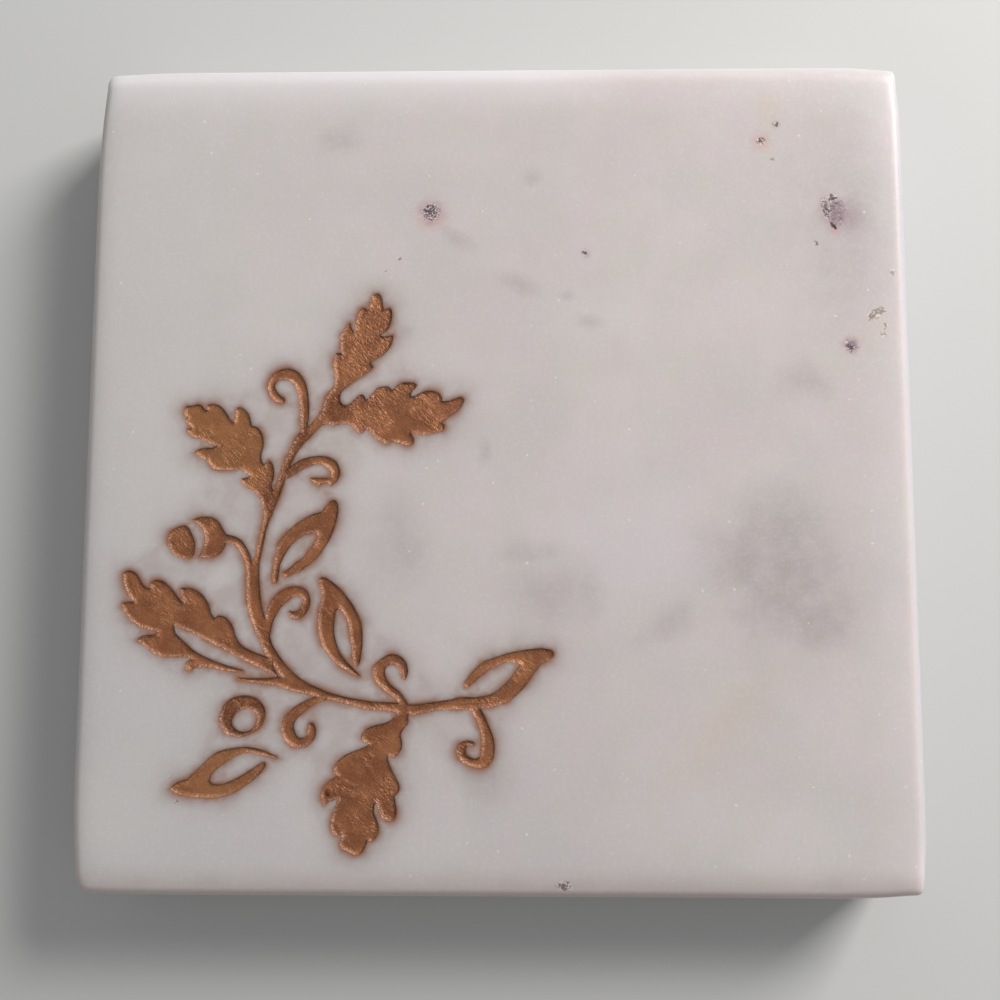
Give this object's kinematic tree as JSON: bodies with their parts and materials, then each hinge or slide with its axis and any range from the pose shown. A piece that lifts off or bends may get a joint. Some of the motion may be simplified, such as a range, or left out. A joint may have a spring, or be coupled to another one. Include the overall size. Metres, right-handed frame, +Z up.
{
  "type": "drink coaster",
  "caption": "Square rounded stone coaster with an oak-leaf spray cut into its top and filled with copper paint, on rubber feet.",
  "frame": {"origin": "middle of the underside, on the surface that the feet stand on", "axes": "+Z up through the drinking side, +X to the right and +Y to the back with the spray in the front left corner"},
  "size_m": [0.1, 0.101, 0.0116],
  "materials": {
    "marble": "honed, satin",
    "copper_paint": "metallic, brushed on",
    "foot_rubber": "matt, moulded",
    "adhesive": "matt, slightly milky"
  },
  "bodies": {
    "root": {"marble_slab": "marble", "paint_spray": "copper_paint", "paint_acorn_nut": "copper_paint", "paint_ring": "copper_paint", "paint_upper_open_leaf": "copper_paint", "paint_inner_open_leaf": "copper_paint", "paint_lower_open_leaf": "copper_paint", "foot_front_left": "foot_rubber", "foot_front_right": "foot_rubber", "foot_back_left": "foot_rubber", "foot_back_right": "foot_rubber", "pad_front_left": "adhesive", "pad_front_right": "adhesive", "pad_back_left": "adhesive", "pad_back_right": "adhesive"}
  },
  "joints": []
}
